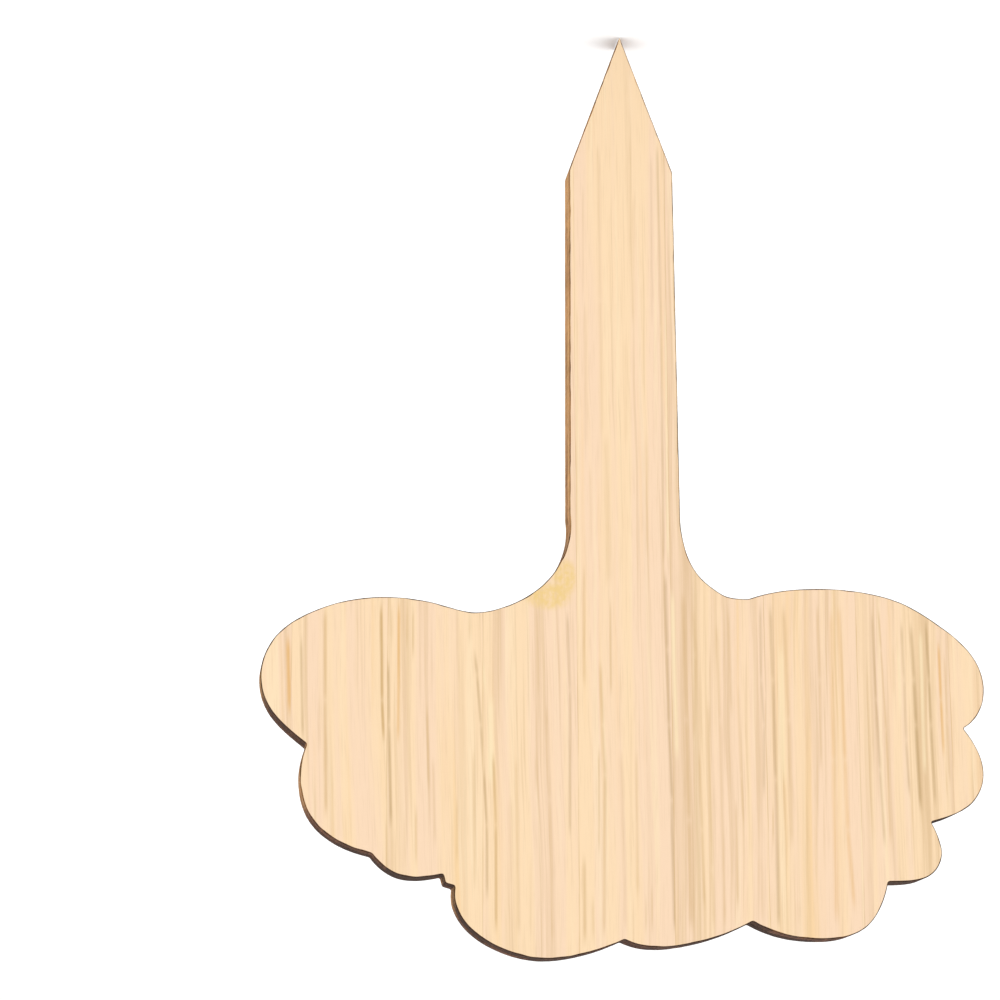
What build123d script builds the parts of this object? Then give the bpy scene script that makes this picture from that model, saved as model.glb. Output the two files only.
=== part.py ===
from build123d import *
import os

# A scalloped plant label stake, cut from a sheet of two bamboo plies. Each ply is a row of
# bamboo strips glued edge to edge, and the strips of the two plies don't meet at the same seams.
#
# The stake stands as it is used: its point is down at the origin, +Z is up the stem, and the
# plate is in the XZ plane with its front face towards -Y.

# Overall sizes, in millimetres
stake_length = 79.0
plate_width = 60.0
plate_height = 31.2

# Stem and point
stem_neck_width = 9.3
stem_taper = 0.4
point_length = 12.2
fillet_drop = 5.4

# Sheet and strips
ply_thickness = 1.5
strip_width = 7.8
front_middle_shift = 0.2
back_seam_shift = 0.2
least_strip_width = 2.0

# Outline of the plate. Each point is a share of half the plate's width, from the middle, and a
# share of the plate's height, up from the level where the plate begins. The lobes run from the
# stem's -X side over the top to its +X side, and each starts where the one before it ends.
corner_shares = (-0.340, 0.047)
wide_lobe_left_shares = [
    (-0.433, 0.024), (-0.547, 0.015), (-0.660, 0.022), (-0.773, 0.049), (-0.886, 0.113),
    (-0.968, 0.186), (-1.000, 0.268), (-0.975, 0.354), (-0.937, 0.385),
]
side_lobe_left_shares = [
    (-0.972, 0.437), (-0.990, 0.510), (-0.953, 0.586), (-0.897, 0.617), (-0.837, 0.635),
]
small_lobe_shares = [
    (-0.860, 0.687), (-0.864, 0.725), (-0.833, 0.774), (-0.780, 0.791), (-0.712, 0.794),
]
top_lobe_left_shares = [
    (-0.703, 0.828), (-0.683, 0.871), (-0.647, 0.913), (-0.597, 0.936), (-0.513, 0.944),
    (-0.430, 0.935), (-0.336, 0.900),
]
top_lobe_middle_shares = [(-0.263, 0.932), (-0.152, 0.961), (-0.042, 0.966), (0.015, 0.949)]
top_lobe_right_shares = [
    (0.069, 0.971), (0.150, 0.992), (0.235, 1.000), (0.342, 0.977), (0.424, 0.930),
    (0.465, 0.878), (0.473, 0.816),
]
step_shares = [(0.498, 0.809), (0.504, 0.786)]
upper_lobe_right_shares = [(0.561, 0.795), (0.615, 0.791), (0.670, 0.762), (0.695, 0.735)]
side_lobe_right_shares = [
    (0.752, 0.719), (0.807, 0.692), (0.862, 0.639), (0.888, 0.565), (0.886, 0.494),
    (0.873, 0.454),
]
wide_lobe_right_shares = [
    (0.921, 0.417), (0.977, 0.356), (1.000, 0.268), (0.956, 0.167), (0.848, 0.099),
    (0.739, 0.068), (0.657, 0.062), (0.518, 0.078), (0.421, 0.098),
]

# Fillets between the stem and the plate, as shares of the way from the neck to the plate's
# own outline, across and up.
fillet_left_shares = [(0.030, 0.255), (0.112, 0.505), (0.300, 0.755), (0.560, 0.925)]
fillet_right_shares = [(0.663, 0.932), (0.309, 0.735), (0.077, 0.445)]

# Levels up the stake
plate_base = stake_length - plate_height
neck_level = plate_base - fillet_drop

# The stem narrows a little from its neck down to the shoulders of the point.
stem_shoulder_width = stem_neck_width - stem_taper

# Corners of the stem and the point
point_tip = (0, 0)
shoulder_left = (-stem_shoulder_width / 2, point_length)
shoulder_right = (stem_shoulder_width / 2, point_length)
neck_left = (-stem_neck_width / 2, neck_level)
neck_right = (stem_neck_width / 2, neck_level)


def plate_point(shares):
    """A point of the plate's outline, from its shares of the half width and the height."""
    across, up = shares
    return (across * plate_width / 2, plate_base + up * plate_height)


def between(start, end, shares):
    """A point given by its shares of the way from start to end, across and up."""
    across, up = shares
    return (start[0] + across * (end[0] - start[0]), start[1] + up * (end[1] - start[1]))


def strip_edges(first_seam, side):
    """Edges of a ply's strips from a first seam outwards, where side is 1 for +X or -1 for -X.

    The strips are all as wide, and the outer one takes what is left, which is never less than
    the least width.
    """
    last_reach = plate_width / 2 - least_strip_width
    edges = [first_seam]
    while side * edges[-1] + strip_width < last_reach:
        edges.append(edges[-1] + side * strip_width)
    return edges + [side * plate_width / 2]


# The outline of the whole stake, drawn flat
with BuildSketch() as outline:
    with BuildLine():
        Polyline(neck_right, shoulder_right, point_tip, shoulder_left, neck_left)
        corner = plate_point(corner_shares)
        fillet_left = [between(neck_left, corner, shares) for shares in fillet_left_shares]
        Spline(neck_left, *fillet_left, corner, tangents=[(0, 1), (-1, 0)])
        lobe_start = corner
        for lobe_shares in (
            wide_lobe_left_shares,
            side_lobe_left_shares,
            small_lobe_shares,
            top_lobe_left_shares,
            top_lobe_middle_shares,
            top_lobe_right_shares,
        ):
            lobe = [plate_point(shares) for shares in lobe_shares]
            Spline(lobe_start, *lobe)
            lobe_start = lobe[-1]
        step = [plate_point(shares) for shares in step_shares]
        Polyline(lobe_start, *step)
        lobe_start = step[-1]
        for lobe_shares in (upper_lobe_right_shares, side_lobe_right_shares):
            lobe = [plate_point(shares) for shares in lobe_shares]
            Spline(lobe_start, *lobe)
            lobe_start = lobe[-1]
        # The last wide lobe runs on without a corner into its fillet.
        lobe = [plate_point(shares) for shares in wide_lobe_right_shares]
        lobe_end = lobe[-1]
        fillet_right = [between(neck_right, lobe_end, shares) for shares in fillet_right_shares]
        Spline(lobe_start, *lobe, *fillet_right, neck_right)
    make_face()


def ply_strip(ply_plane, start_edge, end_edge):
    """One strip of a ply: the part of the outline that lies between two upright edges."""
    with BuildPart() as strip:
        with BuildSketch(ply_plane):
            add(outline.sketch_local)
            with Locations(((start_edge + end_edge) / 2, stake_length / 2)):
                Rectangle(abs(end_edge - start_edge), stake_length, mode=Mode.INTERSECT)
        extrude(amount=ply_thickness)
    return strip


# Plane.XZ faces -Y, so the front ply is extruded forwards from the glue line at y = 0, and the
# back ply is extruded forwards from the back face to that line.
front_plane = Plane.XZ
back_plane = Plane.XZ.offset(-ply_thickness)

# The front ply has a strip down the middle of the stem, where the back ply has a seam.
middle_left_seam = front_middle_shift - strip_width / 2
middle_right_seam = front_middle_shift + strip_width / 2

os.makedirs("parts", exist_ok=True)

middle_strip = ply_strip(front_plane, middle_left_seam, middle_right_seam)
middle_strip.part.label = "front_strip_middle"
export_step(middle_strip.part, "parts/front_strip_middle.step")

# The other strips are numbered outwards from the middle, left for -X and right for +X.
for side_strips, ply_plane, first_seam, side in (
    ("front_strip_left", front_plane, middle_left_seam, -1),
    ("front_strip_right", front_plane, middle_right_seam, 1),
    ("back_strip_left", back_plane, back_seam_shift, -1),
    ("back_strip_right", back_plane, back_seam_shift, 1),
):
    edges = strip_edges(first_seam, side)
    for number, (inner_edge, outer_edge) in enumerate(zip(edges, edges[1:]), start=1):
        strip = ply_strip(ply_plane, inner_edge, outer_edge)
        strip.part.label = f"{side_strips}_{number}"
        export_step(strip.part, f"parts/{strip.part.label}.step")
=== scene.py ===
import math

import bmesh
import bpy
import numpy as np
from mathutils import Matrix, Vector
from mathutils.geometry import delaunay_2d_cdt


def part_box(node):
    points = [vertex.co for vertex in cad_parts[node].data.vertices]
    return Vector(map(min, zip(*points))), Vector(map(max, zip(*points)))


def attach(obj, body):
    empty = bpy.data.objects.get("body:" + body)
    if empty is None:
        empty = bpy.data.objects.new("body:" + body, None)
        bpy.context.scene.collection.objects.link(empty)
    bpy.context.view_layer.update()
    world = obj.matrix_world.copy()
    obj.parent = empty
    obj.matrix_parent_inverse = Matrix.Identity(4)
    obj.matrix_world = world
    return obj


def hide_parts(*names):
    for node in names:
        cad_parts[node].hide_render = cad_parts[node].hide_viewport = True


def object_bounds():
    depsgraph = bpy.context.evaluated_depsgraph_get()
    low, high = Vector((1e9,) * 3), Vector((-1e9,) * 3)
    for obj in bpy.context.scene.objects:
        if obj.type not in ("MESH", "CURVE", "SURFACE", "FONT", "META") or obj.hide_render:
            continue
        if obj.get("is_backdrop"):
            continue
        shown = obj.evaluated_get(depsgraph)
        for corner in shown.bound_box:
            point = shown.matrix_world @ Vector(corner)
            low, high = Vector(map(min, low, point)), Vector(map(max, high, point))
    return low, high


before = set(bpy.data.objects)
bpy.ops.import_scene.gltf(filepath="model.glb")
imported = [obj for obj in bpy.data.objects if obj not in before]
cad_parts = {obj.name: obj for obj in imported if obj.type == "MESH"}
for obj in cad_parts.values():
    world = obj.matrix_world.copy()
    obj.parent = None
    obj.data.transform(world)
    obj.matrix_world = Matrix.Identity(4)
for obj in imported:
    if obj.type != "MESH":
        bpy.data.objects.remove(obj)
cad_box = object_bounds()

# The stake is dressed strip by strip. Each ply is built once, as one closed mesh on the CAD
# nodes' own outline, with a softened rim and a burnt, ridged wall, and is then cut at the seams.
# Lengths are in millimetres until a mesh is written, and the CAD nodes' corners are matched by
# whole micrometres.
MM = 0.001
MICROMETRES_PER_METRE = 1e6
MICROMETRE = 0.001


def strips_of(ply):
    """The CAD nodes of a ply's strips, from -X to +X."""
    nodes = [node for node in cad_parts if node.startswith(ply)]
    return sorted(nodes, key=lambda node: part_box(node)[0][0])


# The two plies are equally thick, with the glue line between them at y = 0. Each has the side
# that its outer face is on, and its strips.
PLY_THICKNESS = round(cad_box[1][1] / MM, 3)
PLIES = {
    "front_ply": {"outward": -1, "nodes": strips_of("front")},
    "back_ply": {"outward": 1, "nodes": strips_of("back")},
}

# How far from y = 0, in metres, the corners of a face on the glue line may be, and how near
# things may come before they count as one, in millimetres, where a face is filled or a strip cut
GLUE_LINE_TOLERANCE = 1e-7
FILL_TOLERANCE = 1e-7
CUT_TOLERANCE = 1e-6

# The outline: the turn that makes a corner, the length from which an edge is a straight side, the
# step along the outline, the steps of a curve between two of the CAD's corners, and how often the
# corners are softened
CORNER_TURN = math.radians(24)
STRAIGHT_LENGTH = 1.8
OUTLINE_STEP = 0.09
CURVE_STEPS = 12
CORNER_SOFTENING_PASSES = 3

# The rim is rounded, in steps at these angles, and the face has rings at these insets from it. The
# wall's rings start at a share of the rim's greatest depth and go down to the groove at the glue
# line. The face's points lie on a grid, clear of its last ring by a share of the grid's pitch. The
# heat falls to about a third over its reach.
RIM_RADIUS = 0.09
RIM_UNEVENNESS = 0.025
FACE_INSETS = (0.9, 0.45, 0.2)
ROUND_ANGLES = (30, 60)
WALL_RINGS = 8
WALL_CLEARANCE = 1.15
WALL_RIDGE_DEPTH = 0.028
GLUE_GROOVE = 0.035
FACE_GRID = 1.6
GRID_CLEARANCE = 0.35
HEAT_REACH = 0.28

# How the cut wavers along its way: outline steps to a wave, the fine ridges' share of them all,
# and how much the ridges flicker from one ring of the wall to the next
RIM_WAVE = 9
FINE_RIDGE_WAVE = 2.6
BROAD_RIDGE_WAVE = 7
FINE_RIDGE_SHARE = 0.55
FLICKER_WAVE = 5
FLICKER_SHARES = (0.4, 1.0)

# In a narrow place, the shares of the room inside it that the rim, the wall's ridges and the
# insets of the face may take, and how fast that room may change from step to step
RIM_ROOM_SHARE = 0.4
RIDGE_ROOM_SHARE = 0.3
FACE_ROOM_SHARE = 0.5
ROOM_STEP = 0.02
ROOM_PASSES = 4

# The random draws: where they start, and the range of the seeds that set the strips apart
RANDOM_START = 20
STRIP_SEEDS = (10, 900)

rng = np.random.default_rng(RANDOM_START)


def glue_edges(node):
    """The edges round a node's face on the glue line, as pairs of (x, z) in micrometres."""
    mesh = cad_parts[node].data
    uses = {}
    for polygon in mesh.polygons:
        corners = [mesh.vertices[i].co for i in polygon.vertices]
        if max(abs(corner.y) for corner in corners) > GLUE_LINE_TOLERANCE:
            continue
        keys = [
            (round(corner.x * MICROMETRES_PER_METRE), round(corner.z * MICROMETRES_PER_METRE))
            for corner in corners
        ]
        for start, end in zip(keys, keys[1:] + keys[:1]):
            edge = frozenset((start, end))
            uses[edge] = uses.get(edge, 0) + 1
    return {edge for edge, count in uses.items() if count == 1}


def outline_of(nodes):
    """The outline of a ply's strips together, as one loop of (x, z), counter-clockwise."""
    outer = set()
    for node in nodes:
        # An edge that two strips share is a seam, and drops out here.
        outer ^= glue_edges(node)
    beside = {}
    for edge in outer:
        start, end = edge
        beside.setdefault(start, []).append(end)
        beside.setdefault(end, []).append(start)
    first = min(beside)
    loop = [first, beside[first][0]]
    while loop[-1] != first:
        one, other = beside[loop[-1]]
        loop.append(other if one == loop[-2] else one)
    points = np.array(loop[:-1], float) * MICROMETRE
    x, z = points.T
    area = np.sum(x * np.roll(z, -1) - np.roll(x, -1) * z)
    return points if area > 0 else points[::-1]


def curve_through(points, step):
    """Evenly spaced points on a smooth curve through the given ones, without its end."""
    if len(points) > 2:
        reach = np.linalg.norm(np.diff(points, axis=0), axis=1)
        place = np.concatenate([[0], np.cumsum(reach)])
        slope = np.gradient(points, place, axis=0, edge_order=2)
        fine = []
        for i, length in enumerate(reach):
            t = np.linspace(0, 1, CURVE_STEPS, endpoint=False)[:, None]
            fine.append(
                (2 * t**3 - 3 * t**2 + 1) * points[i]
                + (t**3 - 2 * t**2 + t) * length * slope[i]
                + (3 * t**2 - 2 * t**3) * points[i + 1]
                + (t**3 - t**2) * length * slope[i + 1]
            )
        points = np.concatenate(fine + [points[-1:]])
    reach = np.linalg.norm(np.diff(points, axis=0), axis=1)
    place = np.concatenate([[0], np.cumsum(reach)])
    count = max(2, round(place[-1] / step))
    at = np.linspace(0, place[-1], count, endpoint=False)
    return np.column_stack([np.interp(at, place, points[:, k]) for k in (0, 1)])


def smooth_loop(points):
    """The outline again, curved between its corners, evenly stepped, its corners softened."""
    before = points - np.roll(points, 1, axis=0)
    after = np.roll(points, -1, axis=0) - points
    turn = np.arctan2(
        before[:, 0] * after[:, 1] - before[:, 1] * after[:, 0], (before * after).sum(1)
    )
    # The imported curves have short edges, so a long edge is a straight side, with a break at both
    # of its ends.
    straight = np.linalg.norm(after, axis=1) > STRAIGHT_LENGTH
    breaks = (np.abs(turn) > CORNER_TURN) | straight | np.roll(straight, 1)
    corners = np.flatnonzero(breaks)
    runs = []
    for start, end in zip(corners, np.roll(corners, -1)):
        if end <= start:
            end += len(points)
        run = points[np.arange(start, end + 1) % len(points)]
        runs.append(curve_through(run, OUTLINE_STEP))
    loop = np.concatenate(runs)
    for _ in range(CORNER_SOFTENING_PASSES):
        loop = (np.roll(loop, 1, axis=0) + 2 * loop + np.roll(loop, -1, axis=0)) / 4
    return loop


def inward_of(loop):
    """Unit directions into the material, at each point of a counter-clockwise loop."""
    along = np.roll(loop, -1, axis=0) - np.roll(loop, 1, axis=0)
    inward = np.column_stack([-along[:, 1], along[:, 0]])
    inward = (np.roll(inward, 1, axis=0) + 2 * inward + np.roll(inward, -1, axis=0)) / 4
    return inward / np.linalg.norm(inward, axis=1)[:, None]


def room_inside(loop, inward):
    """The radius of the largest circle that touches each point and fits inside the loop."""
    room = np.empty(len(loop))
    for i, (point, way) in enumerate(zip(loop, inward)):
        gap = loop - point
        toward = gap @ way
        faced = toward > 1e-4
        room[i] = (np.sum(gap[faced] ** 2, axis=1) / (2 * toward[faced])).min()
    for _ in range(ROOM_PASSES):
        room = np.minimum(room, (np.roll(room, 1) + np.roll(room, -1)) / 2 + ROOM_STEP)
    return room


def ragged(count, pitch):
    """Smooth random values in 0 to 1 round a loop, with this many steps to a wave."""
    knots = max(4, round(count / pitch))
    values = rng.random(knots)
    at = np.arange(count) * knots / count
    low = at.astype(int)
    share = at - low
    share = share * share * (3 - 2 * share)
    return values[low % knots] * (1 - share) + values[(low + 1) % knots] * share


def ply_rings(loop):
    """The rings of a ply from its face to its glue line, as (points, depth, heat) each."""
    inward = inward_of(loop)
    room = room_inside(loop, inward)
    count = len(loop)
    uneven = RIM_UNEVENNESS * (2 * ragged(count, RIM_WAVE) - 1)
    rim = np.minimum(RIM_RADIUS + uneven, RIM_ROOM_SHARE * room)
    fine = ragged(count, FINE_RIDGE_WAVE)
    broad = ragged(count, BROAD_RIDGE_WAVE)
    ridges = FINE_RIDGE_SHARE * fine + (1 - FINE_RIDGE_SHARE) * broad
    ridges = np.minimum(WALL_RIDGE_DEPTH * ridges, RIDGE_ROOM_SHARE * room)

    def ring(inset, depth):
        """A ring this far inside the outline and this deep under the face."""
        inset = inset * np.ones(count)
        heat = np.exp(-inset / HEAT_REACH)
        return loop + inward * inset[:, None], depth * np.ones(count), heat

    rings = []
    for inset in FACE_INSETS:
        rings.append(ring(rim + inset / (1 + inset / (FACE_ROOM_SHARE * room)), 0))
    rings.append(ring(rim, 0))
    for angle in ROUND_ANGLES:
        turn = math.radians(angle)
        share = 1 - math.sin(turn)
        rings.append(ring(rim * share + ridges * 0.5 * (1 - share), rim * (1 - math.cos(turn))))
    # The wall starts a little below the deepest place of the rim.
    top = WALL_CLEARANCE * (RIM_RADIUS + RIM_UNEVENNESS)
    bottom = PLY_THICKNESS - GLUE_GROOVE
    for depth in np.linspace(top, bottom, WALL_RINGS):
        least, most = FLICKER_SHARES
        flicker = least + (most - least) * ragged(count, FLICKER_WAVE)
        rings.append(ring(ridges * flicker, depth))
    groove = np.minimum(GLUE_GROOVE, RIDGE_ROOM_SHARE * room)
    rings.append(ring(ridges + groove, PLY_THICKNESS))
    return rings


def inside(points, loop):
    """Which of the points lie inside the loop."""
    within = np.zeros(len(points), bool)
    x, z = points.T
    for (ax, az), (bx, bz) in zip(loop, np.roll(loop, -1, axis=0)):
        if az == bz:
            continue
        crosses = ((az > z) != (bz > z)) & (x < (bx - ax) * (z - az) / (bz - az) + ax)
        within ^= crosses
    return within


def fill(loop, spacing=None):
    """Triangles that fill a loop, as (extra points, corner indices into loop + extra)."""
    extra = np.empty((0, 2))
    if spacing:
        low, high = loop.min(0), loop.max(0)
        across = np.arange(low[0], high[0], spacing)
        up = np.arange(low[1], high[1], spacing)
        grid = np.array([(x, z) for x in across for z in up])
        grid = grid[inside(grid, loop)]
        gaps = [np.min(np.sum((loop - point) ** 2, axis=1)) for point in grid]
        extra = grid[np.array(gaps) > (GRID_CLEARANCE * spacing) ** 2]
    flat = [Vector(point) for point in np.concatenate([loop, extra])]
    count = len(loop)
    edges = [(i, (i + 1) % count) for i in range(count)]
    # Output kind 1 keeps the triangles inside the loop.
    _, _, triangles, origin, *_ = delaunay_2d_cdt(flat, edges, [], 1, FILL_TOLERANCE)
    kept = [where[0] for where in origin]
    return extra, [[kept[i] for i in corners] for corners in triangles]


def ply_bmesh(ply):
    """A whole ply as one closed mesh. Material 0 is its face and 1 is what the cut burnt."""
    loop = smooth_loop(outline_of(ply["nodes"]))
    rings = ply_rings(loop)
    count = len(loop)
    outward = ply["outward"]
    bm = bmesh.new()
    heat_layer = bm.verts.layers.float.new("heat")

    def vertex(point, depth, heat):
        """A vertex at a point of the outline's plane, this deep under the outer face."""
        made = bm.verts.new((point[0], outward * (PLY_THICKNESS - depth), point[1]))
        made[heat_layer] = heat
        return made

    rows = [[vertex(*one) for one in zip(*ring)] for ring in rings]
    for number, (upper, lower) in enumerate(zip(rows, rows[1:])):
        for i in range(count):
            j = (i + 1) % count
            face = bm.faces.new((upper[i], upper[j], lower[j], lower[i]))
            face.material_index = 0 if number < len(FACE_INSETS) else 1
            face.smooth = True
    for row, ring, spacing in ((rows[0], rings[0], FACE_GRID), (rows[-1], rings[-1], None)):
        extra, triangles = fill(ring[0], spacing)
        depth = ring[1][0]
        corners = row + [vertex(point, depth, 0) for point in extra]
        for triangle in triangles:
            face = bm.faces.new([corners[i] for i in triangle])
            face.smooth = True
            face.material_index = 0 if row is rows[0] else 1
    bmesh.ops.recalc_face_normals(bm, faces=bm.faces)
    return bm


def cut_at(bm, seam, keep):
    """Cuts a mesh at x = seam, keeps the side that keep points to, and closes the cut."""
    whole = bm.verts[:] + bm.edges[:] + bm.faces[:]
    cut = bmesh.ops.bisect_plane(
        bm,
        geom=whole,
        dist=CUT_TOLERANCE,
        plane_co=(seam, 0, 0),
        plane_no=(-keep, 0, 0),
        clear_outer=True,
    )
    edges = [part for part in cut["geom_cut"] if isinstance(part, bmesh.types.BMEdge)]
    made = bmesh.ops.edgeloop_fill(bm, edges=edges, mat_nr=1)
    for face in made["faces"]:
        face.smooth = False
    for edge in edges:
        edge.smooth = False


def new_piece(name, bm, materials):
    """An object from a mesh in millimetres."""
    bmesh.ops.scale(bm, vec=(MM, MM, MM), verts=bm.verts)
    mesh = bpy.data.meshes.new(name)
    bm.to_mesh(mesh)
    for material in materials:
        mesh.materials.append(material)
    piece = bpy.data.objects.new(name, mesh)
    bpy.context.collection.objects.link(piece)
    return piece


# How bright a white surface is in the studio's light, where 1 is the picture's white
FACE_LIGHT = 1.25


def colour(red, green, blue):
    """A surface colour that looks like this one, of 0 to 255, in the studio's light."""
    linear = []
    for value in (red, green, blue):
        # The sRGB curve, backwards
        share = value / 255
        plain = share / 12.92 if share <= 0.04045 else ((share + 0.055) / 1.055) ** 2.4
        linear.append(plain / FACE_LIGHT)
    return (*linear, 1)


PEACH = colour(252, 220, 187)
CREAM = colour(254, 223, 182)
HONEY = colour(250, 213, 160)
PALE = colour(255, 229, 190)
MOTTLE = colour(243, 208, 134)
FIBRE_TAN = colour(220, 185, 139)
LINE_COLOURS = {
    "pale": colour(255, 233, 190),
    "tan": colour(210, 171, 113),
    "grey": colour(174, 139, 82),
    "orange": colour(232, 180, 106),
}
HEAT_TAN = colour(214, 160, 98)
WALL_ALONG_GRAIN = (colour(190, 127, 64), colour(230, 174, 103))
WALL_ACROSS_GRAIN = (colour(92, 52, 25), colour(138, 82, 40))
BUNDLE_END = colour(52, 29, 17)
CHAR = colour(46, 32, 25)
GLUE = colour(34, 24, 18)

# The layers of a face's grain: how wide and how long their waves are, and a shift that keeps
# their patterns apart
CREAM_BANDS = (1.5, 70, 1.3)
HONEY_BANDS = (1.0, 45, 2.7)
PALE_BANDS = (0.7, 40, 3.9)
CLUMPS = (1.6, 60, 4.1)
HAIRS = (0.07, 3.2, 7.7)
LINE_BREAKS = (0.5, 7.0, 9.1)
HEAT_BREAKS = (0.5, 1.4, 11.3)
GLOSS = (0.3, 6, 13.1)

# The fibres that show on a face, from wide and soft to fine: such a layer each, and how strong
FIBRE_LAYERS = (
    ((1.30, 60, 3.1), 0.14),
    ((0.85, 50, 4.7), 0.24),
    ((0.46, 36, 5.9), 0.34),
    ((0.25, 18, 6.8), 0.30),
)

# The noise between which each layer goes from nothing to full, and its strength when full. How
# yellow a strip is pulls the honey bands' first limit down.
CREAM_LIMITS = (0.42, 0.58)
HONEY_LIMITS = (0.66, 0.80)
HONEY_PULL = 0.3
HONEY_STRENGTH = 0.8
PALE_LIMITS = (0.54, 0.70)
PALE_STRENGTH = 0.7
HAIR_LIMITS = (0.50, 0.78)
HAIR_STRENGTH = 0.22

# The fibres' limits: the first one where none crowd together, how much crowding lowers it, how
# far above it the second one lies, and how much the clumps add to the crowding
FIBRE_LIMIT = 0.66
CROWD_PULL = 0.20
FIBRE_EDGE = 0.12
CLUMP_SHARE = 1.6

# How much of a bold line, of the glue at a seam and of the heat's tan is left where each is
# thinnest and where it is fullest, and the noise between which they go from one to the other
LINE_BREAK_LIMITS = (0.35, 0.60)
LINE_SHARES = (0.72, 1.0)
SEAM_LIMITS = (0.4, 0.6)
SEAM_SHARES = (0.1, 0.5)
HEAT_BREAK_LIMITS = (0.3, 0.7)
HEAT_SHARES = (0.3, 0.8)

# The heat, 1 at the rim and less further in, between which the tan goes from nothing to full
HEAT_LIMITS = (0.25, 0.95)

# How far the fibres wander from a straight line, the waves of that to a millimetre of x and z, and
# the level where a leaning grain is in its place
WANDER_REACH = 0.9
WANDER_WAVES = (0.12, 0.045)
LEAN_LEVEL = 60.0

# How soon a bold line fades in and out, and how far each of its pieces runs on past a bend
LINE_FADE = 1.8
BEND_OVERLAP = 1.0

# The bold lines that are guessed on each strip of the back: how many, how far they keep from the
# seams, how far out the stem reaches, and the ranges of where they start, how long they are, how
# far they lean, half their width and their strength
GUESSED_LINES = 4
SEAM_CLEARANCE = 0.4
STEM_REACH = 4.0
STEM_START = 8.0
PLATE_START = 50.0
LAST_START = 62.0
LAST_END = 77.5
GUESSED_LENGTHS = (7.0, 22.0)
GUESSED_LEANS = (-0.012, 0.012)
GUESSED_HALF_WIDTHS = (0.12, 0.20)
GUESSED_STRENGTHS = (0.25, 0.48)
GUESSED_TONES = ("tan", "grey", "tan", "pale", "orange")

# The mottling: its waves to a millimetre of x and z, the noise between which it goes from faint
# to strong, its shares of the colour there, and where a patch starts to fade and has faded out,
# as the square of the share of its reach
MOTTLE_WAVES = (2.6, 2.0)
MOTTLE_LIMITS = (0.30, 0.66)
MOTTLE_SHARES = (0.40, 0.9)
PATCH_FADE = (0.2, 1.3)

# The seams' glue on the face: half the width of the sharp line, where it has faded out, and how
# many waves to a millimetre it comes and goes in
SEAM_HALF_WIDTH = 0.01
SEAM_FADE = 0.075
SEAM_WAVES = 0.2

# The relief of a face, as shares of its full height, and its gloss: the sum of fibres and noise
# between which it goes from the first roughness to the second
FIBRE_DEPTH = 0.5
HAIR_DEPTH = 0.2
DULLNESS_LIMITS = (0.2, 1.4)
FACE_ROUGHNESS = (0.50, 0.66)
FACE_FINISH = dict(specular=0.35, strength=0.35, distance=0.02)

# The relief of a wall, and its gloss where it is bare and where it is charred
RIDGE_HEIGHT = 0.6
BUNDLE_DEPTH = 0.4
WALL_ROUGHNESS = (0.62, 0.85)
WALL_FINISH = dict(specular=0.12, strength=0.5, distance=0.04)

# Bundles, streaks, ridges and patches of char on a wall, in waves to a millimetre
BUNDLE_WAVES = (2.9, 2.9, 0.10)
STREAK_WAVES = (4.0, 4.0, 0.12)
RIDGE_WAVES = (5.5, 0.5, 5.5)
PATCH_WAVES = (0.35, 0, 0.35)

# A bundle's end is dark up to one distance from its middle and gone at the next, in cells, which
# lie at random, from 0 for a grid to 1. The streaks go from one colour to the other between two
# values of their noise, and a wall goes from long grain to end grain between two shares of a
# full turn across the grain.
BUNDLE_RANDOMNESS = 0.9
BUNDLE_LIMITS = (0.16, 0.34)
STREAK_LIMITS = (0.35, 0.65)
ACROSS_LIMITS = (0.1, 0.6)
BUNDLE_STRENGTH = 0.85

# The char: how much a full turn across the grain adds to a strip's burn, and what is taken off
# both. The ridges' share grows between two shares of that turn, and the patches have one share.
# The char gets thicker between two levels, from the stem to the lobes, and between two distances
# from the glue line, towards the face.
ACROSS_CHAR = 0.32
BARE_WOOD = 0.42
RIDGE_TURN = (0, 0.8)
RIDGE_SHARES = (0.35, 0.9)
PATCH_SHARE = 0.8
LOBE_CHAR_LEVELS = (45.0, 50.0)
LOBE_CHAR = 0.26
RIM_CHAR_DISTANCES = (1.34, 1.44)
RIM_CHAR = 0.35
CHAR_STRENGTH = 0.9

# The glue line on a wall: the distances between which it fades out, and how dark it is
GLUE_DISTANCES = (0.02, 0.07)
GLUE_STRENGTH = 0.8

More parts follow.
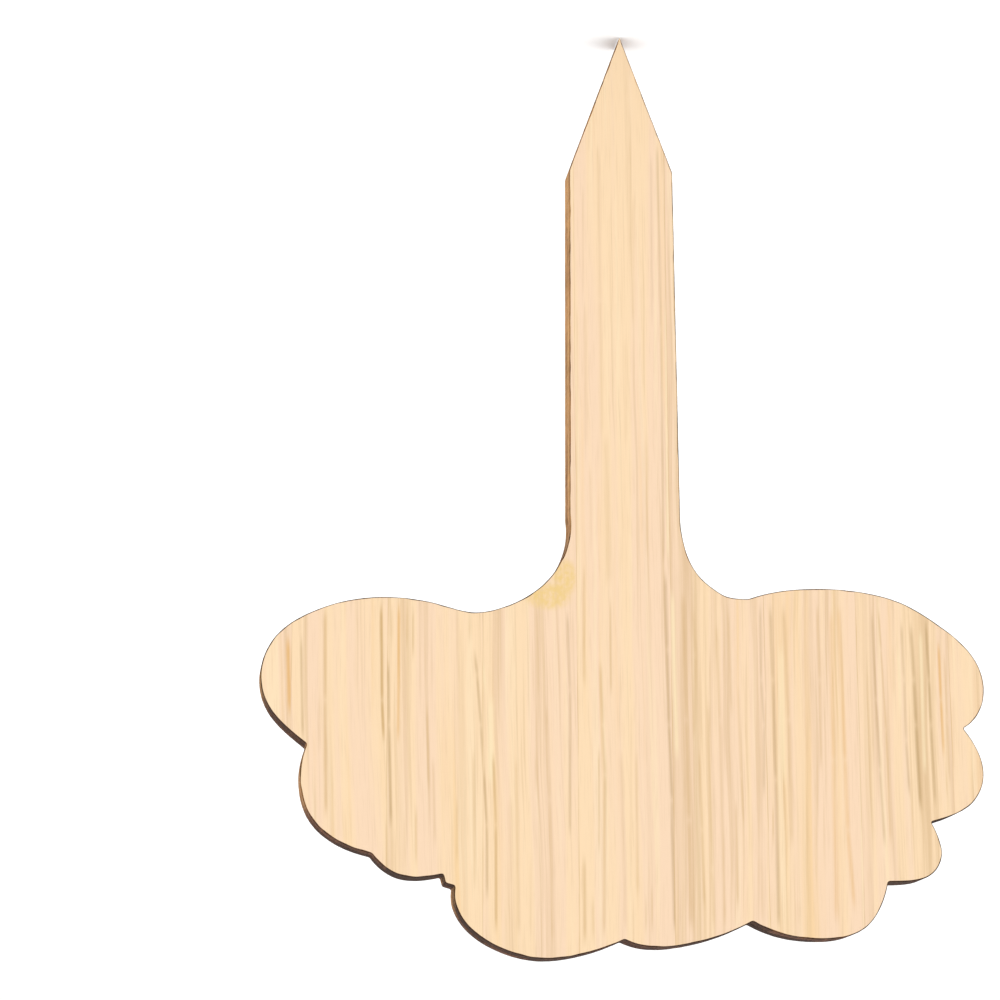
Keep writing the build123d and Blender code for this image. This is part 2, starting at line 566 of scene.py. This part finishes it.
# What sets each strip apart: how far its grain leans, how dense its fibres are at its -X and +X
# seams, how yellow it is, and how dark the cut has burnt it.
STRIP_TRAITS = {
    "front_strip_left_4": dict(lean=0.0, density=(0.30, 0.55), honey=0.35, burn=0.50),
    "front_strip_left_3": dict(lean=0.0, density=(0.85, 0.35), honey=0.60, burn=0.80),
    "front_strip_left_2": dict(lean=0.010, density=(0.35, 0.50), honey=0.52, burn=0.45),
    "front_strip_left_1": dict(lean=0.002, density=(0.40, 0.80), honey=0.35, burn=0.75),
    "front_strip_middle": dict(lean=-0.006, density=(0.40, 0.05), honey=0.30, burn=0.60),
    "front_strip_right_1": dict(lean=-0.020, density=(0.45, 0.45), honey=0.40, burn=0.68),
    "front_strip_right_2": dict(lean=-0.026, density=(0.20, 0.60), honey=0.20, burn=0.82),
    "front_strip_right_3": dict(lean=-0.026, density=(0.12, 0.30), honey=0.25, burn=0.48),
    "front_strip_right_4": dict(lean=-0.030, density=(0.55, 0.30), honey=0.55, burn=0.72),
    "back_strip_left_4": dict(lean=0.008, density=(0.30, 0.60), honey=0.30, burn=0.85),
    "back_strip_left_3": dict(lean=0.012, density=(0.60, 0.25), honey=0.45, burn=0.52),
    "back_strip_left_2": dict(lean=0.004, density=(0.25, 0.70), honey=0.25, burn=0.88),
    "back_strip_left_1": dict(lean=-0.010, density=(0.50, 0.30), honey=0.50, burn=0.64),
    "back_strip_right_1": dict(lean=-0.006, density=(0.30, 0.55), honey=0.25, burn=0.78),
    "back_strip_right_2": dict(lean=0.010, density=(0.75, 0.35), honey=0.40, burn=0.50),
    "back_strip_right_3": dict(lean=0.014, density=(0.25, 0.45), honey=0.30, burn=0.86),
    "back_strip_right_4": dict(lean=0.006, density=(0.55, 0.25), honey=0.50, burn=0.58),
}

# The photograph's view, from the front: the lens, the point looked at and how far off it is, in
# millimetres, and the angles towards +X, upwards and round the line of sight
LENS = 108.0
SENSOR_WIDTH = 36.0
CAMERA_AIM = (10.46, -PLY_THICKNESS, 41.367)
CAMERA_DISTANCE = 248.268
AZIMUTH = math.radians(6.6)
ELEVATION = math.radians(13.436)
ROLL = math.radians(179.886)

# The photograph is square, with this many pixels each way
PHOTO_SIZE = 1000

# The bold lines of the front's grain, measured on the photograph: the colour, how much darker it
# is than the face beside it (or paler, for a pale one) in steps of 255, the width in pixels, and
# the pixels that the line runs through, upwards on the stake
GRAIN_LINES = [
    ("orange", 14, 6, [(288, 630), (290, 722)]),
    ("grey", 12, 4, [(301, 630), (303, 746)]),
    ("tan", 4, 4, [(319, 690), (319, 760)]),
    ("tan", 11, 5, [(325, 603), (325, 700), (326, 822)]),
    ("tan", 17, 4, [(381, 597), (382, 700), (384, 748)]),
    ("grey", 15, 4, [(388, 655), (389, 725), (391, 832)]),
    ("tan", 4, 4, [(392, 600), (392, 650)]),
    ("orange", 12, 4, [(399, 597), (398, 748)]),
    ("tan", 4, 4, [(405, 806), (405, 872)]),
    ("tan", 7, 3, [(407, 600), (407, 655)]),
    ("tan", 9, 3, [(413, 600), (413, 664)]),
    ("tan", 7, 4, [(416, 800), (416, 872)]),
    ("tan", 9, 4, [(427, 700), (429, 796)]),
    ("tan", 6, 4, [(433, 752), (435, 852)]),
    ("tan", 6, 4, [(457, 790), (457, 870)]),
    ("tan", 4, 6, [(470, 606), (470, 650)]),
    ("tan", 7, 4, [(473, 745), (475, 895)]),
    ("grey", 12, 4, [(474, 645), (477, 675), (481, 725), (484, 775), (487, 825), (487, 905)]),
    ("pale", 6, 5, [(480, 645), (487, 700)]),
    ("pale", 9, 8, [(491, 690), (491, 792)]),
    ("tan", 13, 4, [(493, 748), (496, 825), (496, 938)]),
    ("tan", 4, 5, [(510, 790), (511, 890)]),
    ("tan", 6, 5, [(516, 750), (519, 942)]),
    ("tan", 3, 3, [(531, 850), (531, 945)]),
    ("tan", 4, 5, [(536, 745), (536, 800)]),
    ("tan", 5, 4, [(537, 594), (539, 702)]),
    ("tan", 7, 5, [(546, 700), (550, 800), (553, 948)]),
    ("grey", 11, 4, [(567, 606), (570, 690), (570, 842)]),
    ("tan", 4, 3, [(577, 300), (577, 560)]),
    ("tan", 4, 3, [(583, 180), (583, 300)]),
    ("tan", 8, 4, [(584, 560), (584, 692)]),
    ("tan", 10, 5, [(584, 850), (585, 950)]),
    ("tan", 4.5, 5, [(585, 300), (586, 452)]),
    ("tan", 3, 4, [(590, 460), (591, 560)]),
    ("tan", 7, 4, [(593, 890), (593, 948)]),
    ("tan", 4.5, 5, [(598, 140), (600, 300), (602, 442)]),
    ("tan", 8, 3, [(599, 740), (599, 858)]),
    ("tan", 9, 5, [(600, 655), (602, 725), (605, 775), (604, 942)]),
    ("tan", 5, 8, [(606, 430), (609, 592)]),
    ("tan", 9, 3.5, [(610, 592), (611, 702)]),
    ("tan", 5, 5, [(621, 745), (626, 938)]),
    ("tan", 3, 6, [(626, 330), (626, 450)]),
    ("tan", 3, 3, [(631, 700), (631, 900)]),
    ("tan", 3, 5, [(633, 190), (633, 330)]),
    ("tan", 6, 4, [(636, 745), (638, 902)]),
    ("tan", 8, 3, [(646, 890), (646, 940)]),
    ("tan", 4, 5, [(647, 430), (647, 560)]),
    ("grey", 4.5, 3.5, [(651, 150), (652, 330)]),
    ("tan", 6, 4, [(652, 878), (652, 940)]),
    ("grey", 9, 3.5, [(657, 140), (661, 330), (664, 568)]),
    ("grey", 13, 5, [(665, 568), (667, 650), (669, 725), (672, 800), (675, 938)]),
    ("pale", 8, 3.5, [(666, 300), (668, 566)]),
    ("pale", 9, 6, [(672, 585), (677, 765)]),
    ("tan", 10, 7, [(683, 588), (686, 720), (689, 820), (692, 936)]),
    ("tan", 6, 5, [(692, 600), (696, 655), (694, 745)]),
    ("tan", 9, 4, [(699, 745), (702, 830), (705, 915)]),
    ("tan", 6, 5, [(708, 695), (712, 870), (714, 934)]),
    ("tan", 6, 5, [(716, 618), (720, 720), (725, 932)]),
    ("tan", 7, 4, [(728, 602), (732, 722)]),
    ("tan", 8, 4, [(736, 795), (738, 915)]),
    ("tan", 6, 4, [(738, 680), (741, 775), (744, 832)]),
    ("grey", 9, 4, [(760, 598), (761, 680), (764, 725), (764, 802)]),
    ("tan", 4, 5, [(761, 850), (763, 930)]),
    ("grey", 13, 5, [(770, 600), (773, 680), (776, 780), (779, 934)]),
    ("tan", 8, 2.5, [(773, 798), (773, 850)]),
    ("pale", 7, 7, [(781, 640), (784, 790)]),
    ("tan", 8, 6, [(783, 600), (789, 720), (792, 852)]),
    ("tan", 3, 8, [(799, 895), (799, 932)]),
    ("tan", 8, 5, [(817, 598), (820, 680), (821, 775)]),
    ("orange", 6, 7, [(831, 606), (834, 760), (837, 928)]),
    ("orange", 7, 6, [(838, 600), (845, 760), (848, 830), (855, 915)]),
    ("grey", 11, 4, [(872, 606), (876, 700), (880, 770), (885, 852)]),
    ("tan", 9, 3, [(878, 604), (881, 650), (886, 730), (891, 852)]),
    ("tan", 5, 4, [(893, 640), (894, 705)]),
    ("pale", 6, 4, [(898, 640), (901, 720)]),
    ("grey", 11, 4, [(901, 616), (904, 680), (906, 740), (910, 802)]),
    ("grey", 15, 5, [(910, 618), (914, 680), (916, 725), (921, 816)]),
    ("pale", 8, 5, [(920, 625), (925, 780)]),
    ("grey", 14, 4, [(925, 614), (929, 680), (931, 725), (936, 812)]),
    ("orange", 12, 4, [(938, 636), (941, 700), (944, 762)]),
    ("tan", 7, 3, [(944, 648), (947, 720), (950, 790)]),
    ("tan", 4, 3, [(946, 655), (947, 802)]),
    ("tan", 3, 4, [(953, 690), (954, 780)]),
]

# What those readings stand for: the contrast at full strength, the most strength that a line
# gets, the millimetres of half width to a pixel of width, and the least half width
FULL_CONTRAST = {"orange": 17, "grey": 29, "tan": 20, "pale": 11}
MOST_STRENGTH = 0.85
HALF_WIDTH_SHARE = 0.054
LEAST_HALF_WIDTH = 0.10

# Patches where the face is mottled yellow: where on x and z, and the reach along each
STAINS = {
    "front_strip_right_1": [(6.5, 49.4, 2.0, 1.2), (5.1, 47.8, 1.1, 1.7)],
}


class Tree:
    """Short ways to add nodes to a node tree. Each gives the socket that holds its result."""

    def __init__(self, tree):
        self.tree = tree

    def node(self, kind, inputs=(), **settings):
        node = self.tree.nodes.new(kind)
        for name, value in settings.items():
            setattr(node, name, value)
        for place, value in dict(inputs).items():
            if isinstance(value, bpy.types.NodeSocket):
                self.tree.links.new(value, node.inputs[place])
            else:
                node.inputs[place].default_value = value
        return node

    def add(self, kind, inputs=(), out=0, **settings):
        return self.node(kind, inputs, **settings).outputs[out]

    def math(self, operation, *values):
        return self.add("ShaderNodeMath", enumerate(values), operation=operation)

    def times(self, value, factor):
        return self.math("MULTIPLY", value, factor)

    def centred(self, noise):
        """Noise about 0, from noise of 0 to 1."""
        return self.math("SUBTRACT", noise, 0.5)

    def vector(self, x, y, z):
        return self.add("ShaderNodeCombineXYZ", {0: x, 1: y, 2: z})

    def noise(self, x, y, z, detail=2.0):
        """Noise of 0 to 1, about 0.5, whose waves are one unit of x, y and z long."""
        inputs = {"Vector": self.vector(x, y, z), "Scale": 1.0, "Detail": detail}
        return self.add("ShaderNodeTexNoise", inputs)

    def ramp(self, value, low, high, start=0.0, end=1.0, smooth=True):
        """Maps low to high onto start to end, and no further."""
        kind = "SMOOTHSTEP" if smooth else "LINEAR"
        inputs = {0: value, 1: low, 2: high, 3: start, 4: end}
        return self.add("ShaderNodeMapRange", inputs, interpolation_type=kind, clamp=True)

    def mix(self, share, first, second):
        inputs = {0: share, 6: first, 7: second}
        return self.add("ShaderNodeMix", inputs, out=2, data_type="RGBA", clamp_factor=True)


def grain_line_group():
    """A group that draws one bold line of the grain, 0 to 1, between two levels."""
    group = bpy.data.node_groups.new("grain_line", "ShaderNodeTree")
    for name in ("X", "Z", "Place", "Low", "High", "Lean", "Half width", "Strength"):
        group.interface.new_socket(name, in_out="INPUT", socket_type="NodeSocketFloat")
    group.interface.new_socket("Line", in_out="OUTPUT", socket_type="NodeSocketFloat")
    given = group.nodes.new("NodeGroupInput").outputs
    t = Tree(group)
    middle = t.math("MULTIPLY", t.math("ADD", given["Low"], given["High"]), 0.5)
    drift = t.math("MULTIPLY", t.math("SUBTRACT", given["Z"], middle), given["Lean"])
    place = t.math("ADD", given["Place"], drift)
    away = t.math("ABSOLUTE", t.math("SUBTRACT", given["X"], place))
    line = t.ramp(away, 0.0, given["Half width"], 1.0, 0.0)
    low_end = t.math("ADD", given["Low"], LINE_FADE)
    high_start = t.math("SUBTRACT", given["High"], LINE_FADE)
    line = t.math("MULTIPLY", line, t.ramp(given["Z"], given["Low"], low_end))
    line = t.math("MULTIPLY", line, t.ramp(given["Z"], high_start, given["High"], 1.0, 0.0))
    line = t.math("MULTIPLY", line, given["Strength"])
    result = group.nodes.new("NodeGroupOutput")
    group.links.new(line, result.inputs["Line"])
    return group


GRAIN_LINE = grain_line_group()


def place_in_mm(t):
    """The x, y and z of the surface in the part's own frame, in millimetres."""
    place = t.add("ShaderNodeTexCoord", out=3)
    scaled = t.add("ShaderNodeVectorMath", {0: place, 3: 1 / MM}, operation="SCALE")
    return t.node("ShaderNodeSeparateXYZ", {0: scaled}).outputs


def shader(t, base, roughness, height, specular, strength, distance):
    """Ends a material with one plain surface shader, bumped by a height of 0 to 1.

    The bump's distance is in millimetres.
    """
    relief = {"Height": height, "Strength": strength, "Distance": distance * MM}
    inputs = {
        "Base Color": base,
        "Roughness": roughness,
        "Specular IOR Level": specular,
        "Normal": t.add("ShaderNodeBump", relief),
    }
    surface = t.add("ShaderNodeBsdfPrincipled", inputs)
    t.node("ShaderNodeOutputMaterial", {"Surface": surface})


def new_material(name):
    material = bpy.data.materials.new(name)
    material.use_nodes = True
    material.node_tree.nodes.clear()
    return material, Tree(material.node_tree)


def camera_pose():
    """The camera's place, in millimetres, and its turn, as a matrix."""
    level = math.cos(ELEVATION)
    back = Vector((math.sin(AZIMUTH) * level, -math.cos(AZIMUTH) * level, math.sin(ELEVATION)))
    turn = (-back).to_track_quat("-Z", "Y").to_matrix() @ Matrix.Rotation(ROLL, 3, "Z")
    return Vector(CAMERA_AIM) + back * CAMERA_DISTANCE, turn


def on_face(pixel):
    """The x and z, in millimetres, of the spot on the front face that a pixel shows."""
    across, down = (count / PHOTO_SIZE - 0.5 for count in pixel)
    place, turn = camera_pose()
    sight = turn @ Vector((across, -down, -LENS / SENSOR_WIDTH))
    spot = place + sight * ((-PLY_THICKNESS - place.y) / sight.y)
    return spot.x, spot.z


def read_lines(left, right):
    """The straight pieces of the front's bold lines whose middles lie between two seams."""
    pieces = []
    for tone, contrast, width, pixels in GRAIN_LINES:
        strength = min(contrast / FULL_CONTRAST[tone], MOST_STRENGTH)
        half_width = max(width * HALF_WIDTH_SHARE, LEAST_HALF_WIDTH)
        places = [on_face(pixel) for pixel in pixels]
        last = len(places) - 2
        for number, ((x, z), (next_x, next_z)) in enumerate(zip(places, places[1:])):
            lean = (next_x - x) / (next_z - z)
            low = z - (BEND_OVERLAP if number > 0 else 0)
            high = next_z + (BEND_OVERLAP if number < last else 0)
            middle = x + lean * ((low + high) / 2 - z)
            if left < middle <= right:
                pieces.append((middle, low, high, lean, half_width, strength, tone))
    return pieces


def guessed_lines(left, right):
    """A few bold grain lines for a strip of the back, which the photograph doesn't show."""
    lines = []
    for _ in range(GUESSED_LINES):
        middle = rng.uniform(left + SEAM_CLEARANCE, right - SEAM_CLEARANCE)
        first_start = STEM_START if abs(middle) < STEM_REACH else PLATE_START
        low = rng.uniform(first_start, LAST_START)
        high = min(low + rng.uniform(*GUESSED_LENGTHS), LAST_END)
        lean = rng.uniform(*GUESSED_LEANS)
        half_width = rng.uniform(*GUESSED_HALF_WIDTHS)
        strength = rng.uniform(*GUESSED_STRENGTHS)
        tone = GUESSED_TONES[rng.integers(len(GUESSED_TONES))]
        lines.append((middle, low, high, lean, half_width, strength, tone))
    return lines


def grain_place(t, x, z, seed, lean):
    """A place across the grain that follows the fibres, which wander and lean with the strip."""
    wander = t.noise(t.times(x, WANDER_WAVES[0]), seed, t.times(z, WANDER_WAVES[1]), 1.0)
    wander = t.times(t.centred(wander), WANDER_REACH)
    drift = t.times(t.math("SUBTRACT", z, LEAN_LEVEL), -lean)
    return t.math("ADD", x, t.math("ADD", wander, drift))


def ground(t, fibres, honey):
    """A face's ground, which goes from peach through cream to honey in soft bands."""
    first, full = HONEY_LIMITS
    cream = t.ramp(fibres(*CREAM_BANDS), *CREAM_LIMITS)
    gold = t.ramp(fibres(*HONEY_BANDS), first - HONEY_PULL * honey, full)
    shine = t.ramp(fibres(*PALE_BANDS), *PALE_LIMITS)
    base = t.mix(cream, PEACH, CREAM)
    base = t.mix(t.times(gold, HONEY_STRENGTH), base, HONEY)
    return t.mix(t.times(shine, PALE_STRENGTH), base, PALE)


def with_fibres(t, base, fibres, x, seams, density):
    """The base with its fibres, and the fibres' strength, for their relief.

    They crowd together towards the culm's skin, which was one side of the strip.
    """
    crowd = t.ramp(x, *seams, *density, smooth=False)
    clumps = t.times(t.centred(fibres(*CLUMPS)), CLUMP_SHARE)
    crowd = t.math("ADD", crowd, clumps)
    first = t.math("SUBTRACT", FIBRE_LIMIT, t.times(crowd, CROWD_PULL))
    full = t.math("ADD", first, FIBRE_EDGE)
    threads = 0.0
    for layer, strength in FIBRE_LAYERS:
        thread = t.ramp(fibres(*layer), first, full, 0.0, strength)
        base = t.mix(thread, base, FIBRE_TAN)
        threads = t.math("ADD", threads, thread)
    return base, threads


def with_lines(t, base, x, z, lines, breaks):
    """The base with its bold lines, and the dark ones' strength, for their relief."""
    marks = 0.0
    for tone, tint in LINE_COLOURS.items():
        strongest = None
        for *shape, line_tone in lines:
            if line_tone != tone:
                continue
            drawn = t.add("ShaderNodeGroup", enumerate((x, z, *shape)), node_tree=GRAIN_LINE)
            strongest = drawn if strongest is None else t.math("MAXIMUM", strongest, drawn)
        if strongest is None:
            continue
        strongest = t.math("MULTIPLY", strongest, breaks)
        base = t.mix(strongest, base, tint)
        if tone != "pale":
            marks = t.math("ADD", marks, strongest)
    return base, marks


def with_mottling(t, base, x, z, seed, stains):
    """The base with yellow mottling, where a patch of the culm's skin is near."""
    for across, up, reach_x, reach_z in stains:
        from_x = t.math("DIVIDE", t.math("SUBTRACT", x, across), reach_x)
        from_z = t.math("DIVIDE", t.math("SUBTRACT", z, up), reach_z)
        away = t.math("ADD", t.math("POWER", from_x, 2.0), t.math("POWER", from_z, 2.0))
        patch = t.ramp(away, *PATCH_FADE, 1.0, 0.0)
        cells = t.noise(t.times(x, MOTTLE_WAVES[0]), seed, t.times(z, MOTTLE_WAVES[1]), 3.0)
        mottle = t.ramp(cells, *MOTTLE_LIMITS, *MOTTLE_SHARES)
        base = t.mix(t.math("MULTIPLY", patch, mottle), base, MOTTLE)
    return base


def with_seams(t, base, x, y, z, seed, seams):
    """The base with the hair of glue that shows at the seams, here more and there less."""
    gaps = [t.math("ABSOLUTE", t.math("SUBTRACT", x, seam)) for seam in seams]
    line = t.ramp(t.math("MINIMUM", *gaps), SEAM_HALF_WIDTH, SEAM_FADE, 1.0, 0.0)
    shows = t.ramp(t.noise(seed, y, t.times(z, SEAM_WAVES)), *SEAM_LIMITS, *SEAM_SHARES)
    return t.mix(t.math("MULTIPLY", line, shows), base, LINE_COLOURS["tan"])


def face_material(node, seed, seams):
    """The sanded face of one strip of bamboo: fibres along z on a pale ground."""
    traits = STRIP_TRAITS[node]
    on_front = node in PLIES["front_ply"]["nodes"]
    lines = read_lines(*seams) if on_front else guessed_lines(*seams)
    material, t = new_material(f"face_{node}")
    x, y, z = place_in_mm(t)
    grain = grain_place(t, x, z, seed, traits["lean"])

    def fibres(width, length, shift, detail=2.0):
        """Noise drawn out along the grain, in waves this wide and this long."""
        return t.noise(t.times(grain, 1 / width), seed + shift, t.times(z, 1 / length), detail)

    base = ground(t, fibres, traits["honey"])
    base, threads = with_fibres(t, base, fibres, x, seams, traits["density"])
    hair = t.ramp(fibres(*HAIRS, detail=1.0), *HAIR_LIMITS)
    base = t.mix(t.times(hair, HAIR_STRENGTH), base, FIBRE_TAN)

    # The bold lines thicken and thin along their way.
    breaks = t.ramp(fibres(*LINE_BREAKS), *LINE_BREAK_LIMITS, *LINE_SHARES)
    base, marks = with_lines(t, base, x, z, lines, breaks)
    base = with_mottling(t, base, x, z, seed, STAINS.get(node, ()))
    base = with_seams(t, base, x, y, z, seed, seams)

    # The cut's heat has tanned a hair's breadth beside the rim.
    heat = t.ramp(t.add("ShaderNodeAttribute", out=2, attribute_name="heat"), *HEAT_LIMITS)
    uneven = t.ramp(fibres(*HEAT_BREAKS), *HEAT_BREAK_LIMITS, *HEAT_SHARES)
    base = t.mix(t.math("MULTIPLY", heat, uneven), base, HEAT_TAN)

    sunk = t.math("ADD", t.times(threads, FIBRE_DEPTH), t.times(marks, FIBRE_DEPTH))
    height = t.math("ADD", t.math("SUBTRACT", 1.0, sunk), t.times(hair, -HAIR_DEPTH))
    dullness = t.math("ADD", threads, fibres(*GLOSS))
    roughness = t.ramp(dullness, *DULLNESS_LIMITS, *FACE_ROUGHNESS)
    shader(t, base, roughness, height, **FACE_FINISH)
    return material


def wall_material(node, seed):
    """The burnt wall of one strip: bundles of fibres along z under a coat of char."""
    material, t = new_material(f"wall_{node}")
    x, y, z = place_in_mm(t)
    from_glue = t.math("ABSOLUTE", y)
    upright = t.add("ShaderNodeTexCoord", out=1)
    across = t.math("ABSOLUTE", t.add("ShaderNodeSeparateXYZ", {0: upright}, out=2))

    def noise(waves, detail=2.0):
        """Noise in this many waves to a millimetre of x, y and z."""
        shifted = t.math("ADD", t.times(y, waves[1]), seed)
        return t.noise(t.times(x, waves[0]), shifted, t.times(z, waves[2]), detail)

    # Bundles run along z, so a wall across the grain shows dots and one along it long streaks.
    wide, deep, long = BUNDLE_WAVES
    place = t.vector(t.math("ADD", t.times(x, wide), seed), t.times(y, deep), t.times(z, long))
    cells = {"Vector": place, "Scale": 1.0, "Randomness": BUNDLE_RANDOMNESS}
    dots = t.ramp(t.add("ShaderNodeTexVoronoi", cells), *BUNDLE_LIMITS, 1.0, 0.0)
    streak = t.ramp(noise(STREAK_WAVES, 3.0), *STREAK_LIMITS)
    along_grain = t.mix(streak, *WALL_ALONG_GRAIN)
    across_grain = t.mix(streak, *WALL_ACROSS_GRAIN)
    base = t.mix(t.ramp(across, *ACROSS_LIMITS), along_grain, across_grain)
    base = t.mix(t.times(dots, BUNDLE_STRENGTH), base, BUNDLE_END)

    # The char is thicker across the grain, on the lobes and towards the face. It lies in ridges
    # through the thickness, where the beam stepped, and in patches.
    ridges = noise(RIDGE_WAVES)
    ridge_share = t.ramp(across, *RIDGE_TURN, *RIDGE_SHARES)
    char = t.math("ADD", t.times(across, ACROSS_CHAR), STRIP_TRAITS[node]["burn"] - BARE_WOOD)
    for more in (
        t.ramp(z, *LOBE_CHAR_LEVELS, 0.0, LOBE_CHAR),
        t.math("MULTIPLY", t.centred(ridges), ridge_share),
        t.times(t.centred(noise(PATCH_WAVES)), PATCH_SHARE),
        t.ramp(from_glue, *RIM_CHAR_DISTANCES, 0.0, RIM_CHAR),
    ):
        char = t.math("ADD", char, more)
    char = t.ramp(char, 0.0, 1.0)
    base = t.mix(t.times(char, CHAR_STRENGTH), base, CHAR)

    # The glue between the plies is a thin dark line.
    base = t.mix(t.ramp(from_glue, *GLUE_DISTANCES, GLUE_STRENGTH, 0.0), base, GLUE)

    height = t.math("ADD", t.times(ridges, RIDGE_HEIGHT), t.times(dots, -BUNDLE_DEPTH))
    roughness = t.ramp(char, 0.0, 1.0, *WALL_ROUGHNESS)
    shader(t, base, roughness, height, **WALL_FINISH)
    return material


def dress(slot, ply):
    """Builds a ply's strips and puts each in the place of its CAD node."""
    whole = ply_bmesh(ply)
    nodes = ply["nodes"]
    last = len(nodes) - 1
    for number, node in enumerate(nodes):
        low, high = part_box(node)
        left, right = low[0] / MM, high[0] / MM
        bm = whole.copy()
        if number > 0:
            cut_at(bm, left, 1)
        if number < last:
            cut_at(bm, right, -1)
        seed = float(rng.integers(*STRIP_SEEDS))
        materials = [face_material(node, seed, (left, right)), wall_material(node, seed)]
        piece = new_piece(f"bamboo_{node}", bm, materials)
        bm.free()
        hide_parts(node)
        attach(piece, "root")
    whole.free()


for slot, ply in PLIES.items():
    dress(slot, ply)


# The studio, in metres and watts: the floor, its faint grain and its finish, how bright the white
# surroundings are, and for each light its place, its width and its power
FLOOR_RADIUS = 4.0
FLOOR_SIDES = 96
FLOOR_WAVES = 40.0
FLOOR_LIMITS = (0.3, 0.7)
FLOOR_ROUGHNESS = 0.9
FLOOR_SPECULAR = 0.1
FLOOR_TONES = ((0.97, 0.97, 0.97, 1), (0.985, 0.985, 0.985, 1))
SURROUNDINGS = 1.03
LIGHT_AIM = (0, 0, 0.045)
LIGHTS = {
    "key": ((0.30, -0.65, 0.45), 0.9, 0.5),
    "fill": ((-0.40, 0.6, 0.45), 0.9, 0.6),
    "top": ((0, 0, 0.9), 0.9, 3.2),
}


def make_floor():
    """A plain pale floor, at the level of the stake's point."""
    bm = bmesh.new()
    bmesh.ops.create_circle(bm, cap_ends=True, segments=FLOOR_SIDES, radius=FLOOR_RADIUS)
    mesh = bpy.data.meshes.new("floor")
    bm.to_mesh(mesh)
    bm.free()
    floor = bpy.data.objects.new("floor", mesh)
    bpy.context.collection.objects.link(floor)
    material, t = new_material("studio_floor")
    place = t.add("ShaderNodeTexCoord", out=3)
    grain = t.add("ShaderNodeTexNoise", {"Vector": place, "Scale": FLOOR_WAVES, "Detail": 4.0})
    base = t.mix(t.ramp(grain, *FLOOR_LIMITS), *FLOOR_TONES)
    inputs = {
        "Base Color": base,
        "Roughness": FLOOR_ROUGHNESS,
        "Specular IOR Level": FLOOR_SPECULAR,
    }
    surface = t.add("ShaderNodeBsdfPrincipled", inputs)
    t.node("ShaderNodeOutputMaterial", {"Surface": surface})
    mesh.materials.append(material)
    floor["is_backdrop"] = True


def make_light(name, place, size, power):
    """A square soft light, turned towards the stake."""
    light = bpy.data.lights.new(name, "AREA")
    light.size = size
    light.energy = power
    lamp = bpy.data.objects.new(name, light)
    lamp.location = place
    way = Vector(LIGHT_AIM) - Vector(place)
    lamp.rotation_euler = way.to_track_quat("-Z", "Y").to_euler()
    bpy.context.collection.objects.link(lamp)


def make_studio():
    """White surroundings, and soft lights in front of, behind and above the stake."""
    world = bpy.data.worlds.new("studio")
    world.use_nodes = True
    background = world.node_tree.nodes["Background"]
    background.inputs["Color"].default_value = (1, 1, 1, 1)
    background.inputs["Strength"].default_value = SURROUNDINGS
    scene = bpy.context.scene
    scene.world = world
    scene.view_settings.view_transform = "Standard"
    for name, (place, size, power) in LIGHTS.items():
        make_light(name, place, size, power)


def make_camera():
    """The photograph's view: from the front, a little from +X and above, with the point up."""
    data = bpy.data.cameras.new("camera")
    data.lens = LENS
    data.sensor_width = SENSOR_WIDTH
    camera = bpy.data.objects.new("camera", data)
    place, turn = camera_pose()
    camera.location = place * MM
    camera.rotation_euler = turn.to_euler()
    bpy.context.collection.objects.link(camera)
    bpy.context.scene.camera = camera


make_floor()
make_studio()
make_camera()

sizes = {"cad": cad_box, "visual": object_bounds()}
{name: [list(corner) for corner in box] for name, box in sizes.items()}
